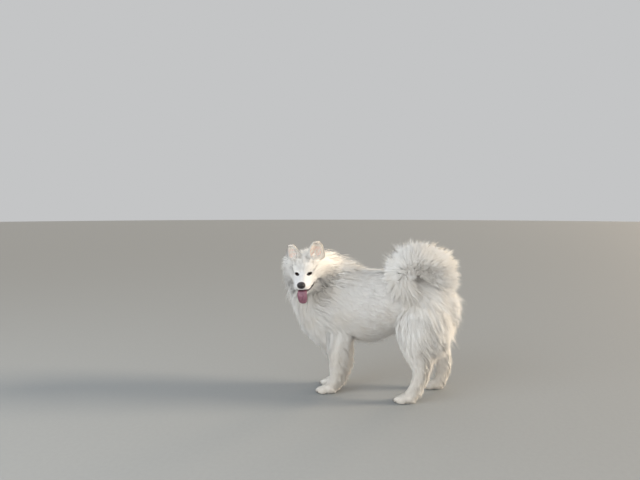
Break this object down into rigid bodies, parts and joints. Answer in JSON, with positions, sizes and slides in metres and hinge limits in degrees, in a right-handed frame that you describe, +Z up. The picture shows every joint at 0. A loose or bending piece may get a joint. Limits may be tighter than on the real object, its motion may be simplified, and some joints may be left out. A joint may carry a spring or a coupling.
{
  "type": "samoyed dog model",
  "caption": "Life-size still model of a standing samoyed dog, head turned to its left, mouth open with the tongue out and the plumed tail curled over the back.",
  "frame": {"origin": "on the floor, at the middle of the model's own box seen from above", "axes": "-Y the way the body heads, +Y towards the tail, +X the dog's left, +Z up"},
  "size_m": [0.4244, 0.7866, 0.7136],
  "materials": {
    "coat": "long soft white fur, cream at the tips",
    "paw_coat": "short dense white fur",
    "nose_leather": "black, moist, finely pebbled",
    "tongue": "pink, wet",
    "eye": "very dark brown, polished"
  },
  "bodies": {
    "root": {"head": "coat", "neck": "coat", "torso": "coat", "tail_root": "coat", "tail_middle": "coat", "tail_tip": "coat", "lower_jaw": "coat", "ear_left": "coat", "foreleg_left": "coat", "thigh_left": "coat", "hindleg_left": "coat", "ear_right": "coat", "foreleg_right": "coat", "thigh_right": "coat", "hindleg_right": "coat", "forepaw_left": "paw_coat", "hindpaw_left": "paw_coat", "forepaw_right": "paw_coat", "hindpaw_right": "paw_coat", "nose": "nose_leather", "tongue": "tongue", "eye_left": "eye", "eye_right": "eye"}
  },
  "joints": []
}
